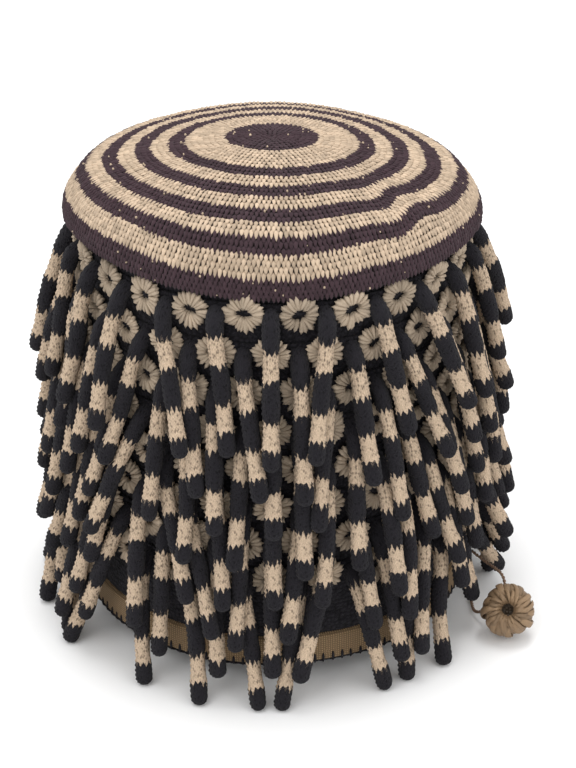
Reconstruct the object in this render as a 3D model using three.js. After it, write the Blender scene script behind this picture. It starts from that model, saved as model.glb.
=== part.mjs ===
import * as THREE from 'three';
import { mergeGeometries, mergeVertices } from 'three/addons/utils/BufferGeometryUtils.js';

// Prestige hat of looped cotton: a ringed crown on a black wall with rows of rosettes and banded fingers.
// Millimetres, +Z up. The table is z = 0, the hat's axis is x = y = 0 and its front faces -Y.
// Angles round the hat run from the front (-Y) towards +X.

// Clearances
const fit_gap = 0.3;
const hang_gap = 0.5;
const rim_gap = 1.6;

// Hem and wall
const hem_lift = 11;
const hem_height = 16;
const hem_thickness = 4.5;
const hem_proud = 2;
const side_height = 182.1;
const wall_top_radius = 93;
const wall_flare = 6;
const wall_thickness = 3;

// Crown
const crown_overhang = 8.6;
const crown_rise = 45.9;
const crown_thickness = 3;
const crown_lean_deg = 6.9;
const crown_tilt_deg = 0.75;
const crown_saddle = 7;
const crown_oval = 0.028;
const back_level = 0.96;
const back_saddle = 0.5;
const rim_hang = 10;
const wall_reach_in_crown = 0.3;

// Fringe
const fingers_per_row = 24;
const front_finger_deg = -0.1;
const first_row_below_rim = 2.1;
const row_pitch = 20.5;
const bare_foot = 25;
const finger_diameter = 8;
const finger_length = 75;
const finger_length_spread = 6;
const finger_stub = 7;
const finger_stub_dip_deg = 22;
const finger_swing_deg = 9;
const finger_lean_deg = 38;
const foot_swing_deg = 17;
const foot_lean_deg = 14;
const finger_sides = 6;
const length_draw = 13;
const lean_draw = 27;
const tape_height = 9;
const tape_thickness = 1.5;

// Tie: a knob and the two cords that hold it
const knob_diameter = 30;
const knob_depth = 27;
const knob_angle_deg = 64.6;
const knob_from_wall = 21.1;
const knob_face_up_deg = 38;
const knob_face_turn_deg = -10;
const cord_diameter = 1.8;
const cord_sides = 8;

const degrees = THREE.MathUtils.degToRad;
const facets = 2 * fingers_per_row;
const pitch_deg = 360 / fingers_per_row;
const finger_radius = finger_diameter / 2;
const wall_foot_radius = wall_top_radius + wall_flare;
const wall_foot_z = hem_lift + hem_height + fit_gap;
const crown_radius = wall_top_radius + crown_overhang;
const rim_z = wall_foot_z + side_height;
const wall_top_z = rim_z + wall_reach_in_crown * crown_rise;
const first_row_z = rim_z - first_row_below_rim;
const row_count = 1 + Math.floor((first_row_z - wall_foot_z - bare_foot) / row_pitch);

// Places round the hat

function around(angle_deg, radius, z) {
  const angle = degrees(angle_deg);
  return new THREE.Vector3(radius * Math.sin(angle), -radius * Math.cos(angle), z);
}

function wallRadius(z) {
  return wall_foot_radius - wall_flare * (z - wall_foot_z) / (wall_top_z - wall_foot_z);
}

function rowHeight(row) {
  return first_row_z - row * row_pitch;
}

// The rows are offset by half a pitch in turn, so a finger hangs over the rosette of the next row.
function fingerAngle(row, index) {
  return front_finger_deg + pitch_deg * (index + (row % 2) / 2);
}

// The distance from the hat's axis to the back of a row's tape, at the middle of each flat.
function tapeRadius(row) {
  return wallRadius(rowHeight(row) - tape_height / 2) + fit_gap;
}

// How far the crown lifts a point off its level place. It leans towards its back, where it levels out, tilts
// a little to +X, and is saddle-shaped: its sides stand higher than its front.
function crownLift(x, y) {
  const radius = Math.hypot(x, y);
  if (radius === 0) return 0;
  const back = Math.max(0, y);
  const fall = y - back_level * back * back / crown_radius;
  const saddle = crown_saddle * (x * x - y * y * (y < 0 ? 1 : -back_saddle)) / (radius * radius);
  return saddle * (radius / crown_radius) ** 4
    - fall * Math.tan(degrees(crown_lean_deg))
    - x * Math.tan(degrees(crown_tilt_deg));
}

// Shapes

// A closed profile of { radius, z } turned round the hat's axis.
function turned(profile, segments, start_deg = front_finger_deg) {
  const points = profile.map(({ radius, z }) => new THREE.Vector2(radius, z));
  return new THREE.LatheGeometry(points, segments, degrees(start_deg), 2 * Math.PI).rotateX(Math.PI / 2);
}

function moveVertices(geometry, move) {
  const place = geometry.attributes.position;
  const point = new THREE.Vector3();
  for (let i = 0; i < place.count; i += 1) {
    point.fromBufferAttribute(place, i);
    move(point);
    place.setXYZ(i, point.x, point.y, point.z);
  }
  geometry.computeVertexNormals();
  return geometry;
}

// Crown

// The dome from its middle to its rim: radius as a share of the crown's, drop as a share of its rise.
// The lining follows the sections marked lined.
const dome_sections = [
  { radius: 0, drop: 0.022, lined: true },
  { radius: 0.045, drop: 0.002, lined: false },
  { radius: 0.226, drop: 0.016, lined: false },
  { radius: 0.5, drop: 0.118, lined: true },
  { radius: 0.651, drop: 0.203, lined: false },
  { radius: 0.79, drop: 0.325, lined: true },
  { radius: 0.877, drop: 0.42, lined: true },
  { radius: 0.93, drop: 0.57, lined: true },
  { radius: 0.966, drop: 0.71, lined: false },
  { radius: 0.99, drop: 0.86, lined: false },
  { radius: 0.996, drop: 1, lined: true },
];

// Soft dents and swells of the dome: place, reach and depth as shares of the crown's radius.
const crown_dents = [
  { angle_deg: 46, radius: 0.72, reach: 0.17, depth: 0.026 },
  { angle_deg: 62, radius: 0.93, reach: 0.14, depth: -0.016 },
  { angle_deg: -38, radius: 0.8, reach: 0.2, depth: 0.014 },
  { angle_deg: -150, radius: 0.7, reach: 0.25, depth: 0.02 },
  { angle_deg: 150, radius: 0.86, reach: 0.2, depth: 0.016 },
];

function dentDepth(x, y) {
  let depth = 0;
  for (const dent of crown_dents) {
    const middle = around(dent.angle_deg, dent.radius * crown_radius, 0);
    const away = Math.hypot(x - middle.x, y - middle.y) / (dent.reach * crown_radius);
    depth += dent.depth * crown_radius * Math.exp(-away * away);
  }
  return depth;
}

// The points of a profile moved inwards by one thickness, at right angles to its run.
function inset(profile, thickness) {
  return profile.map((point, i) => {
    const before = profile[Math.max(i - 1, 0)];
    const after = profile[Math.min(i + 1, profile.length - 1)];
    const run = new THREE.Vector2(after.radius - before.radius, after.z - before.z).normalize();
    const level = point.radius === 0;
    return {
      radius: level ? 0 : point.radius + run.y * thickness,
      z: level ? point.z - thickness : point.z - run.x * thickness,
    };
  });
}

// A shell with a padded shoulder, which seats round the wall, and a rim that hangs over the first rosettes.
// It is a little wider than it is deep, apart from its round seat.
function crownGeometry() {
  const dome = dome_sections.map(({ radius, drop }) => (
    { radius: radius * crown_radius, z: rim_z + (1 - drop) * crown_rise }
  ));
  const lining = inset(dome, crown_thickness).filter((_, i) => dome_sections[i].lined);
  const rim_lining = crown_radius * dome_sections[dome_sections.length - 1].radius - crown_thickness;
  const seat_z = rim_z + rim_hang;
  const seat_radius = wallRadius(seat_z) + fit_gap;
  const above = lining.filter(({ radius }) => radius < seat_radius);
  const last = above[above.length - 1];
  const next = lining[above.length];
  const share = (seat_radius - last.radius) / (next.radius - last.radius);
  const profile = [
    ...above,
    { radius: seat_radius, z: last.z + share * (next.z - last.z) },
    { radius: seat_radius, z: seat_z },
    { radius: rim_lining, z: seat_z },
    { radius: rim_lining, z: rim_z },
    ...dome.slice().reverse(),
  ];
  return moveVertices(turned(profile, facets), (point) => {
    const dent = dentDepth(point.x, point.y) * Math.max(0, point.z - seat_z) / crown_rise;
    const seated = Math.abs(Math.hypot(point.x, point.y) - seat_radius) < fit_gap / 10;
    point.z += crownLift(point.x, point.y) - dent;
    if (seated) return;
    point.x *= 1 + crown_oval;
    if (point.y < 0) point.y *= 1 - crown_oval;
  });
}

// Wall and hem

function wallGeometry() {
  const profile = [
    { radius: wall_foot_radius - wall_thickness, z: wall_foot_z },
    { radius: wall_foot_radius, z: wall_foot_z },
    { radius: wall_top_radius, z: wall_top_z },
    { radius: wall_top_radius - wall_thickness, z: wall_top_z },
    { radius: wall_foot_radius - wall_thickness, z: wall_foot_z },
  ];
  return moveVertices(turned(profile, facets), (point) => {
    if (point.z > rim_z) point.z += crownLift(point.x, point.y);
  });
}

function hemGeometry() {
  const outside = wall_foot_radius + hem_proud;
  const inside = outside - hem_thickness;
  const top = hem_lift + hem_height;
  const profile = [
    { radius: inside, z: hem_lift },
    { radius: outside, z: hem_lift },
    { radius: outside, z: top },
    { radius: inside, z: top },
    { radius: inside, z: hem_lift },
  ];
  return turned(profile, facets);
}

// Tie

const knob_reach = wall_foot_radius + knob_from_wall + knob_diameter / 2;
const knob_centre = around(knob_angle_deg, knob_reach, knob_diameter / 2);

// The knob's half section, from the middle of its back to the hollow in its face.
const knob_sections = [
  { radius: 0, height: -0.46 },
  { radius: 0.55, height: -0.4 },
  { radius: 0.9, height: -0.16 },
  { radius: 1, height: 0.08 },
  { radius: 0.84, height: 0.4 },
  { radius: 0.5, height: 0.52 },
  { radius: 0.26, height: 0.3 },
  { radius: 0, height: 0.22 },
];

function knobGeometry() {
  const profile = knob_sections.map(({ radius, height }) => (
    { radius: radius * knob_diameter / 2, z: height * knob_depth }
  ));
  const ball = turned(profile, 12, 0)
    .rotateX(degrees(90 - knob_face_up_deg))
    .rotateZ(degrees(knob_face_turn_deg))
    .translate(knob_centre.x, knob_centre.y, knob_centre.z);
  ball.computeBoundingBox();
  return ball.translate(0, 0, -ball.boundingBox.min.z);
}

// The cords' routes, point by point from the hem to the knob.
const cord_a_route = [
  [99.7, -19.5, 25],
  [101.5, -20, 26.4],
  [104, -21.5, 27],
  [106, -23.5, 26.9],
  [107.5, -25.5, 26.5],
  [109.5, -27.5, 26.1],
  [111, -29.5, 25.8],
  [113, -32, 25.6],
  [114.5, -34, 25.7],
  [116, -36.5, 26],
  [117, -39, 26.4],
  [118.3, -41.5, 26.7],
  [119.3, -44, 26.5],
  [120, -46, 25.6],
  [120.5, -48.3, 23.8],
];
const cord_b_route = [
  [99.3, -3.5, 10.4],
  [99.9, -4.3, 6.8],
  [101.1, -6.6, 3.6],
  [102.6, -10, 1.8],
  [103.7, -14, 1.2],
  [104.2, -18, 1.2],
  [104.6, -22, 1.2],
  [104.9, -26, 1.2],
  [105.1, -30, 1.2],
  [105.3, -34, 1.3],
  [105.5, -38, 1.6],
  [106, -42, 2.4],
  [107, -45.6, 4.2],
  [108.8, -48.5, 6.4],
  [111.2, -50.7, 8.7],
];

function cordPoints(route) {
  return route.map(([x, y, z]) => new THREE.Vector3(x, y, z));
}

function cordGeometry(route) {
  const run = new THREE.CatmullRomCurve3(cordPoints(route));
  const section = new THREE.Shape();
  section.absarc(0, 0, cord_diameter / 2, 0, 2 * Math.PI);
  const steps = Math.ceil(run.getLength() / (2.5 * cord_diameter));
  return new THREE.ExtrudeGeometry(section, {
    extrudePath: run,
    steps,
    curveSegments: cord_sides / 2,
    bevelEnabled: false,
  });
}

// Fringe

// An even scatter from 0 to 1 that is the same on every run.
function scatter(row, index, use) {
  const wave = Math.sin(row * 127.1 + index * 311.7 + use * 74.7) * 43758.5453;
  return wave - Math.floor(wave);
}

// A finger's stub, from its root in the tape to its elbow, dips as far as it must to pass under the rim.
function stubLine(row, index) {
  const angle_deg = fingerAngle(row, index);
  const z = rowHeight(row);
  const radius = tapeRadius(row) + tape_thickness;
  const stub = new THREE.Line3(around(angle_deg, radius, z), new THREE.Vector3());
  let dip_deg = finger_stub_dip_deg;
  do {
    const dip = degrees(dip_deg);
    stub.end = around(angle_deg, radius + finger_stub * Math.cos(dip), z - finger_stub * Math.sin(dip));
    dip_deg += 2;
  } while (dip_deg < 70 && !clearOfRim(stub.end));
  return stub;
}

// A finger's centre line: its root in the tape, the elbow of its stub, and its tip.
function fingerLine(row, index, length, swing_deg, lean_deg) {
  const angle_deg = fingerAngle(row, index);
  const out = around(angle_deg, 1, 0);
  const aside = around(angle_deg + 90, 1, 0);
  const { start: root, end: elbow } = stubLine(row, index);
  const swing = degrees(swing_deg);
  const lean = degrees(lean_deg);
  const tip = elbow.clone()
    .addScaledVector(out, (length - finger_stub) * Math.sin(swing))
    .addScaledVector(aside, (length - finger_stub) * Math.cos(swing) * Math.sin(lean));
  tip.z -= (length - finger_stub) * Math.cos(swing) * Math.cos(lean);
  return [root, elbow, tip];
}

// What a finger can touch, as straight stretches with a thickness.
function stretches([root, elbow, tip]) {
  const end = tip.clone().sub(elbow);
  end.setLength(end.length() - finger_radius).add(elbow);
  return [
    { line: new THREE.Line3(root, elbow), radius: finger_radius },
    { line: new THREE.Line3(elbow, end), radius: finger_radius },
  ];
}

function clearOfRim({ x, y, z }) {
  return z + finger_radius + rim_gap < rim_z + crownLift(x, y);
}

function isClear(finger, hung) {
  const tip = finger[2];
  if (tip.z < 0 || !clearOfRim(tip)) return false;
  return stretches(finger).every((mine) => hung.every((other) => {
    const room = mine.radius + other.radius + hang_gap;
    return mine.line.distanceSqToLine3(other.line) > room * room;
  }));
}

// The least swing, from the one that its yarn gives it, that keeps a finger clear of what hangs already.
function leastSwing(row, index, length, lean_deg, hung) {
  let swing_deg = finger_swing_deg;
  while (swing_deg < 80 && !isClear(fingerLine(row, index, length, swing_deg, lean_deg), hung)) {
    swing_deg += 0.5;
  }
  return swing_deg;
}

// A finger's own lean is tried first, then others beside it, and the first that hangs near the wall is kept.
const lean_steps_deg = [0, -4, 4, -8, 8, -12, 12, -18, 18, -25, 25, -33, 33];
const near_swing_deg = 16;

function hangFinger(row, index, hung) {
  const foot = row === row_count - 1;
  const spread = finger_length_spread * (scatter(row, index, length_draw) - 0.5);
  const z = rowHeight(row);
  const drop = z - finger_stub * Math.sin(degrees(finger_stub_dip_deg));
  const foot_length = finger_stub + drop / Math.cos(degrees(foot_swing_deg));
  const length = (foot ? foot_length : finger_length) + spread * (foot ? 0.4 : 1);
  const draw = 2 * scatter(row, index, lean_draw) - 1;
  const own_lean_deg = (foot ? foot_lean_deg : finger_lean_deg) * draw * Math.abs(draw) ** 0.5;
  let best = null;
  for (const step_deg of lean_steps_deg) {
    const lean_deg = THREE.MathUtils.clamp(own_lean_deg + step_deg, -finger_lean_deg, finger_lean_deg);
    const swing_deg = leastSwing(row, index, length, lean_deg, hung);
    if (!best || swing_deg < best.swing_deg) best = { swing_deg, lean_deg };
    if (best.swing_deg <= near_swing_deg) break;
  }
  return fingerLine(row, index, length, best.swing_deg, best.lean_deg);
}

// Every finger's centre line, hung from the lowest row upwards round the tie.
function hangFringe() {
  const hung = [{ line: new THREE.Line3(knob_centre, knob_centre), radius: knob_diameter / 2 }];
  for (const route of [cord_a_route, cord_b_route]) {
    const points = cordPoints(route);
    for (let i = 1; i < points.length; i += 1) {
      hung.push({ line: new THREE.Line3(points[i - 1], points[i]), radius: cord_diameter / 2 });
    }
  }
  const rows = [];
  for (let row = row_count - 1; row >= 0; row -= 1) {
    rows[row] = [];
    for (let index = 0; index < fingers_per_row; index += 1) {
      const finger = hangFinger(row, index, hung);
      rows[row].push(finger);
      hung.push(...stretches(finger));
    }
  }
  return rows;
}

// A skin of triangles over points, from faces that list their corners' numbers in turn.
function skin(points, faces) {
  const geometry = new THREE.BufferGeometry().setFromPoints(points);
  const triangles = faces.flatMap((face) => (
    face.slice(2).flatMap((_, i) => [face[0], face[i + 1], face[i + 2]])
  ));
  return geometry.setIndex(triangles);
}

// One ring of a finger's outline round its centre line.
function fingerRing(place, heading, side, stretch) {
  const up = new THREE.Vector3().crossVectors(heading, side).multiplyScalar(stretch);
  return Array.from({ length: finger_sides }, (_, k) => {
    const turn = 2 * Math.PI * k / finger_sides;
    return place.clone()
      .addScaledVector(side, finger_radius * Math.cos(turn))
      .addScaledVector(up, finger_radius * Math.sin(turn));
  });
}

// The rings of a finger from its root on the tape to the shoulder of its rounded tip.
function fingerRings([root, elbow, tip], out) {
  const first = elbow.clone().sub(root).normalize();
  const down = tip.clone().sub(elbow).normalize();
  const side = new THREE.Vector3().crossVectors(out, down).normalize();
  const mitre = first.clone().add(down).normalize();
  const shoulder = tip.clone().addScaledVector(down, -finger_radius);
  return [
    fingerRing(root, out, side, 1),
    fingerRing(elbow, mitre, side, 1 / down.dot(mitre)),
    fingerRing(shoulder, down, side, 1),
  ];
}

function fingerSkin(rings, tip) {
  const faces = [];
  for (let k = 0; k < finger_sides; k += 1) {
    const next = (k + 1) % finger_sides;
    for (let ring = 0; ring < rings.length - 1; ring += 1) {
      const near = ring * finger_sides;
      const far = near + finger_sides;
      faces.push([near + k, near + next, far + next, far + k]);
    }
    const last = (rings.length - 1) * finger_sides;
    faces.push([last + k, last + next, rings.length * finger_sides]);
  }
  return skin([...rings.flat(), tip], faces);
}

// One flat of the tape, with the root of its finger left open in its front.
function tapeFlat(row, index, root_ring) {
  const middle_deg = fingerAngle(row, index);
  const corner = 1 / Math.cos(Math.PI / fingers_per_row);
  const back = tapeRadius(row) * corner;
  const front = (tapeRadius(row) + tape_thickness) * corner;
  const foot = rowHeight(row) - tape_height / 2;
  const top = foot + tape_height;
  const [left, right] = [middle_deg - pitch_deg / 2, middle_deg + pitch_deg / 2];
  const corners = [
    around(left, front, foot),
    around(right, front, foot),
    around(right, front, top),
    around(left, front, top),
    around(left, back, foot),
    around(right, back, foot),
    around(right, back, top),
    around(left, back, top),
  ];
  const aside = around(middle_deg + 90, 1, 0);
  const flat = (point) => new THREE.Vector2(point.dot(aside), point.z);
  const outline = corners.slice(0, 4);
  const front_points = [...outline, ...root_ring];
  const front_faces = THREE.ShapeUtils.triangulateShape(outline.map(flat), [root_ring.map(flat)]);
  const other_faces = [
    [3, 2, 6, 7],
    [4, 5, 1, 0],
    [5, 4, 7, 6],
  ];
  return [skin(front_points, front_faces), skin(corners, other_faces)];
}

function fringeRowGeometry(row, fingers) {
  const skins = fingers.flatMap((finger, index) => {
    const rings = fingerRings(finger, around(fingerAngle(row, index), 1, 0));
    return [fingerSkin(rings, finger[2]), ...tapeFlat(row, index, rings[0])];
  });
  const whole = mergeVertices(mergeGeometries(skins), 1e-3);
  whole.computeVertexNormals();
  return whole;
}

// Materials

const crown_yarn = new THREE.MeshStandardMaterial({ color: 0xc8aa7e, roughness: 0.95, metalness: 0 });
const black_yarn = new THREE.MeshStandardMaterial({ color: 0x202228, roughness: 0.95, metalness: 0 });
const hem_weave = new THREE.MeshStandardMaterial({ color: 0x8f7350, roughness: 0.95, metalness: 0 });
const raffia = new THREE.MeshStandardMaterial({ color: 0xa07f55, roughness: 0.85, metalness: 0 });
const twisted_cord = new THREE.MeshStandardMaterial({ color: 0x6b5443, roughness: 0.85, metalness: 0 });

// The hat

const hat = new THREE.Group();

function addPiece(name, geometry, material) {
  const piece = new THREE.Mesh(geometry, material);
  piece.name = name;
  hat.add(piece);
}

addPiece('crown', crownGeometry(), crown_yarn);
addPiece('side_wall', wallGeometry(), black_yarn);
addPiece('hem_band', hemGeometry(), hem_weave);
hangFringe().forEach((fingers, row) => {
  addPiece(`fringe_row_${row + 1}`, fringeRowGeometry(row, fingers), black_yarn);
});
addPiece('tie_cord_a', cordGeometry(cord_a_route), twisted_cord);
addPiece('tie_cord_b', cordGeometry(cord_b_route), twisted_cord);
addPiece('tie_knob', knobGeometry(), raffia);

export default hat;
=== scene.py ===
"""A prestige hat of looped cotton, dressed over its solids."""

import math

import bmesh
import bpy
import numpy as np
from mathutils import Euler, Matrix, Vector


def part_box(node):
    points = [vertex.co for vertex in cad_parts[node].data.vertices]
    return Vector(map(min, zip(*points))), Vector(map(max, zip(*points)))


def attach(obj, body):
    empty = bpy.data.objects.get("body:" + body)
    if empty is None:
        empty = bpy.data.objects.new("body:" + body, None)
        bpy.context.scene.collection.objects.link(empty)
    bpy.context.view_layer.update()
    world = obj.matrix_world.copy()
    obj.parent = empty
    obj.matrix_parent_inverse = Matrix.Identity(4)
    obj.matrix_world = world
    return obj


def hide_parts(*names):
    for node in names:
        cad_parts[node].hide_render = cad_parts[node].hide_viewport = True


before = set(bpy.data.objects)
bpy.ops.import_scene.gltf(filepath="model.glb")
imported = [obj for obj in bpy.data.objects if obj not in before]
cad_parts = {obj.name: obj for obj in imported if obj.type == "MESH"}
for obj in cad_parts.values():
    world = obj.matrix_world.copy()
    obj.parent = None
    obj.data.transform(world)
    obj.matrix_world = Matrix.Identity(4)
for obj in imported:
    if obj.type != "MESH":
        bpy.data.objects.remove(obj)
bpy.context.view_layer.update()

bl_info = {
    "name": "Prestige Hat",
    "version": (1, 0, 0),
    "blender": (4, 5, 0),
    "location": "View3D > Sidebar > Hat",
    "description": "Looped cotton hat with a ringed crown, rosettes, banded fingers and a raffia tie",
    "category": "Add Mesh",
}

MM = 0.001

# Sizes that the solids also have, in millimetres. The front faces -Y, and angles run from it towards +X.
CROWN_RADIUS = 101.6
CROWN_RISE = 45.9
CROWN_THICKNESS = 3.0
CROWN_LEAN_DEG = 6.9
CROWN_TILT_DEG = 0.75
CROWN_SADDLE = 7.0
CROWN_OVAL = 0.028
BACK_LEVEL = 0.96
BACK_SADDLE = 0.5
RIM_Z = 209.4
RIM_HANG = 10.0
WALL_FOOT_Z = 27.3
WALL_FOOT_RADIUS = 99.0
WALL_TOP_Z = 223.2
WALL_TOP_RADIUS = 93.0
WALL_THICKNESS = 3.0
HEM_LIFT = 11.0
HEM_HEIGHT = 16.0
HEM_THICKNESS = 4.5
HEM_PROUD = 2.0
FIRST_ROW_Z = 207.3
ROW_PITCH = 20.5
ROW_COUNT = 8
PER_ROW = 24
ROW_NODES = [f"fringe_row_{row + 1}" for row in range(ROW_COUNT)]
FRONT_FINGER_DEG = -0.1
TAPE_HEIGHT = 9.0
TAPE_THICKNESS = 1.5
FIT_GAP = 0.3
FINGER_RADIUS = 4.0
CORD_DIAMETER = 1.8

# The middle of a finger's first light band from its tip, and how far a band may stray from its place
FIRST_BAND = 20.5
BAND_STRAY = 4.0

# How deep the crown's shell and the middles of its stitches lie under its line
SHELL_DEPTH = 1.1
STITCH_DEPTH = 0.6

# The length of one full turn of a cord, and a strand's radius as a share of the cord's diameter
TWIST_PITCH = 4.0
STRAND_SHARE = 0.29

# Faces round a finger's skin and along it, and how many of those along it make its round tip
FINGER_SIDES = 16
FINGER_RINGS = 56
TIP_RINGS = 5

# Half the length and half the height of a rosette's slit
ROSETTE_SLIT = (3.1, 1.7)

# The dome from its middle to its rim: radius as a share of the crown's, drop as a share of its rise.
DOME_SECTIONS = [
    (0, 0.022), (0.045, 0.002), (0.226, 0.016), (0.5, 0.118),
    (0.651, 0.203), (0.79, 0.325), (0.877, 0.42), (0.93, 0.57),
    (0.966, 0.71), (0.99, 0.86), (0.996, 1),
]

# Soft dents and swells of the dome: angle in degrees, then place, reach and depth as shares of its radius.
CROWN_DENTS = [
    (46, 0.72, 0.17, 0.026), (62, 0.93, 0.14, -0.016), (-38, 0.8, 0.2, 0.014),
    (-150, 0.7, 0.25, 0.02), (150, 0.86, 0.2, 0.016),
]

# The crown's rings from its middle outwards: rows of stitches, and whether they are dark.
CROWN_RINGS = [
    (8, True), (7, False), (3, True), (3, False),
    (3, True), (3, False), (3, True), (3, False),
    (3, True), (4, False), (4, True),
]

# The cords' routes from the hem to the knob.
CORD_A_ROUTE = [
    (99.7, -19.5, 25), (101.5, -20, 26.4), (104, -21.5, 27), (106, -23.5, 26.9), (107.5, -25.5, 26.5),
    (109.5, -27.5, 26.1), (111, -29.5, 25.8), (113, -32, 25.6), (114.5, -34, 25.7), (116, -36.5, 26),
    (117, -39, 26.4), (118.3, -41.5, 26.7), (119.3, -44, 26.5), (120, -46, 25.6), (120.5, -48.3, 23.8),
]
CORD_B_ROUTE = [
    (99.3, -3.5, 10.4), (99.9, -4.3, 6.8), (101.1, -6.6, 3.6), (102.6, -10, 1.8), (103.7, -14, 1.2),
    (104.2, -18, 1.2), (104.6, -22, 1.2), (104.9, -26, 1.2), (105.1, -30, 1.2), (105.3, -34, 1.3),
    (105.5, -38, 1.6), (106, -42, 2.4), (107, -45.6, 4.2), (108.8, -48.5, 6.4), (111.2, -50.7, 8.7),
]

# The knob's strips: how many, their half width, and their line as (distance from the axis, height) in radii.
KNOB_TIERS = [
    (30, 2.0, [(0.4, 0.3), (0.52, 0.56), (0.8, 0.46), (0.95, 0.05), (0.8, -0.4), (0.35, -0.7)]),
    (26, 1.5, [(0.34, 0.2), (0.44, 0.62), (0.66, 0.62), (0.86, 0.36), (0.92, 0.1)]),
    (22, 1.2, [(0.24, 0.05), (0.28, 0.5), (0.42, 0.7), (0.62, 0.64), (0.72, 0.44)]),
]

# The fitted camera: its lens in millimetres, its place in metres and its angle from straight down.
CAMERA_LENS = 103.97
CAMERA_PLACE = (0.0077, -1.0, 0.684)
CAMERA_ANGLE_DEG = 60.4

# The studio's lamps: name, place and size in metres, and power in watts. They all face the hat's middle.
LAMPS = [
    ("top", (0, 0.3, 2.4), 1.2, 30),
    ("key", (-0.9, -1.1, 1.9), 1.2, 11),
    ("fill", (1.4, -0.9, 1.3), 1.4, 5),
    ("front", (0.1, -2.2, 0.9), 1.2, 4),
]
LAMP_AIM = (0, 0, 0.12)


def linear(hex_colour):
    """Turn an sRGB hex colour into linear red, green and blue."""
    parts = [int(hex_colour[i:i + 2], 16) / 255 for i in (0, 2, 4)]
    return [part / 12.92 if part <= 0.04045 else ((part + 0.055) / 1.055) ** 2.4 for part in parts]


# What a user would change


class HatSizes(bpy.types.PropertyGroup):
    stitch_row: bpy.props.FloatProperty(
        name="Stitch row", description="Height of one row of the crown's looped stitches",
        default=2.78 * MM, unit="LENGTH")
    stitch_width: bpy.props.FloatProperty(
        name="Stitch width", description="Width of one looped stitch of the crown",
        default=2.2 * MM, unit="LENGTH")
    rosette_diameter: bpy.props.FloatProperty(
        name="Rosette diameter", description="Width of a rosette without its loose loops",
        default=20.4 * MM, unit="LENGTH")
    band_repeat: bpy.props.FloatProperty(
        name="Band repeat", description="Length of one black and one light band of a finger",
        default=32 * MM, unit="LENGTH")
    light_band: bpy.props.FloatProperty(
        name="Light band", description="Length of a finger's light band without its teeth",
        default=10.5 * MM, unit="LENGTH")
    band_tooth: bpy.props.FloatProperty(
        name="Band tooth", description="How far the light yarn's longest teeth run over the black",
        default=3.8 * MM, unit="LENGTH")
    loop_count: bpy.props.IntProperty(
        name="Rosette loops", description="Loops round one rosette in one of its two layers", default=20)


class HatColours(bpy.types.PropertyGroup):
    crown_dark: bpy.props.FloatVectorProperty(
        name="Crown dark", description="Dark yarn of the crown's rings",
        default=linear("3c2d32"), subtype="COLOR")
    crown_light: bpy.props.FloatVectorProperty(
        name="Crown light", description="Light yarn of the crown's rings",
        default=linear("b5a18b"), subtype="COLOR")
    black: bpy.props.FloatVectorProperty(
        name="Black yarn", description="Black yarn of the wall and the fingers",
        default=linear("232126"), subtype="COLOR")
    finger_light: bpy.props.FloatVectorProperty(
        name="Finger light", description="Light yarn of the fingers",
        default=linear("d3bba1"), subtype="COLOR")
    rosette: bpy.props.FloatVectorProperty(
        name="Rosette", description="Yarn of the rosettes", default=linear("a79784"), subtype="COLOR")
    hem: bpy.props.FloatVectorProperty(
        name="Hem", description="Woven band at the foot", default=linear("9c8262"), subtype="COLOR")
    raffia: bpy.props.FloatVectorProperty(
        name="Raffia", description="Knob of the tie", default=linear("78624a"), subtype="COLOR")
    cord: bpy.props.FloatVectorProperty(
        name="Cord", description="Twisted cords of the tie", default=linear("6b5443"), subtype="COLOR")


# Lines and places


def smooth_line(points, step):
    """Points about one step apart on a smooth curve through the given ones, and how far along each is."""
    points = np.asarray(points, float)
    gaps = np.linalg.norm(np.diff(points, axis=0), axis=1)
    along = np.concatenate([[0], np.cumsum(gaps)])
    slope = np.gradient(points, along, axis=0)
    steps = max(int(round(along[-1] / step)), 2)
    stops = np.linspace(0, along[-1], steps + 1)
    near = np.clip(np.searchsorted(along, stops, side="right") - 1, 0, len(gaps) - 1)
    gap = gaps[near][:, None]
    t = (stops - along[near])[:, None] / gap
    line = (
        (2 * t**3 - 3 * t**2 + 1) * points[near]
        + (t**3 - 2 * t**2 + t) * gap * slope[near]
        + (3 * t**2 - 2 * t**3) * points[near + 1]
        + (t**3 - t**2) * gap * slope[near + 1]
    )
    run = np.concatenate([[0], np.cumsum(np.linalg.norm(np.diff(line, axis=0), axis=1))])
    return line, run


def unit(vectors):
    """Vectors of length one in the same directions."""
    return vectors / np.linalg.norm(vectors, axis=-1, keepdims=True)


def around(angle, radius, z):
    """The point at an angle in radians from the hat's front, a distance from its axis and a height."""
    return np.stack([radius * np.sin(angle), -radius * np.cos(angle), z + 0 * angle], axis=-1)


def values_at(stops, run, line):
    """The values that a line has at distances along it."""
    return np.stack([np.interp(stops, run, part) for part in line.T], axis=-1)


def wall_share(z):
    """How far up the wall a height is."""
    return (z - WALL_FOOT_Z) / (WALL_TOP_Z - WALL_FOOT_Z)


def wall_radius(z):
    """The wall's outer radius at a height."""
    return WALL_FOOT_RADIUS - (WALL_FOOT_RADIUS - WALL_TOP_RADIUS) * wall_share(z)


def row_height(row):
    """The height of a row's fingers and rosettes, from row 0 at the top."""
    return FIRST_ROW_Z - row * ROW_PITCH


def tape_radius(row):
    """The distance from the axis to the back of a row's tape."""
    return wall_radius(row_height(row) - TAPE_HEIGHT / 2) + FIT_GAP


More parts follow.
